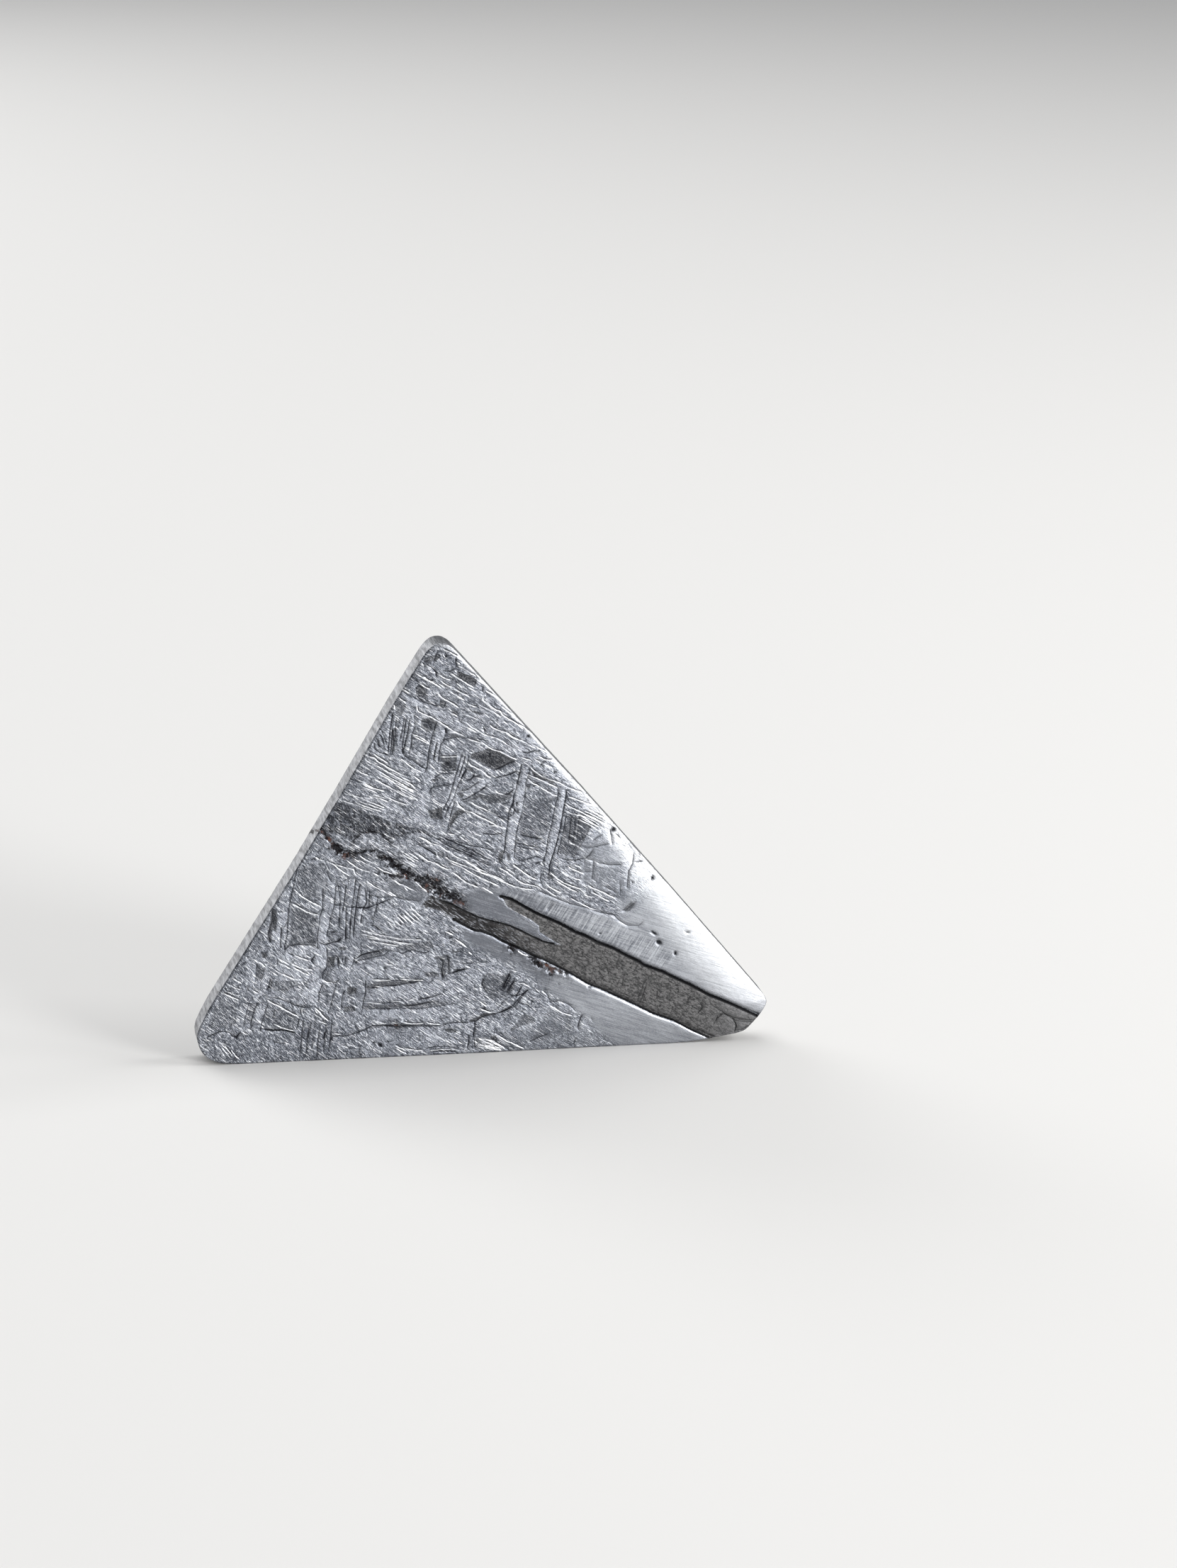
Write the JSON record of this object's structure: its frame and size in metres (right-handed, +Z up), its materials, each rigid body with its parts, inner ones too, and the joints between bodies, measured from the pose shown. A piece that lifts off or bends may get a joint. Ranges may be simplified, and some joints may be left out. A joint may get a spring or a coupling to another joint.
{
  "type": "iron meteorite slice",
  "caption": "Etched slice of an iron meteorite: a rounded triangle of crossing metal bars with a dark mineral band, standing on its long sawn edge.",
  "frame": {"origin": "middle of the slice's box, on the surface that it stands on", "axes": "+X along the long edge to the right of the front face, +Y from the front face into the slab, +Z up"},
  "size_m": [0.0612, 0.004, 0.0449],
  "materials": {
    "etched_iron": "sawn, ground and acid-etched nickel-iron, silver-grey, with bright rims, dark fields, a dark grey mineral band and a few rust specks"
  },
  "bodies": {
    "root": {"iron_slice": "etched_iron"}
  },
  "joints": []
}
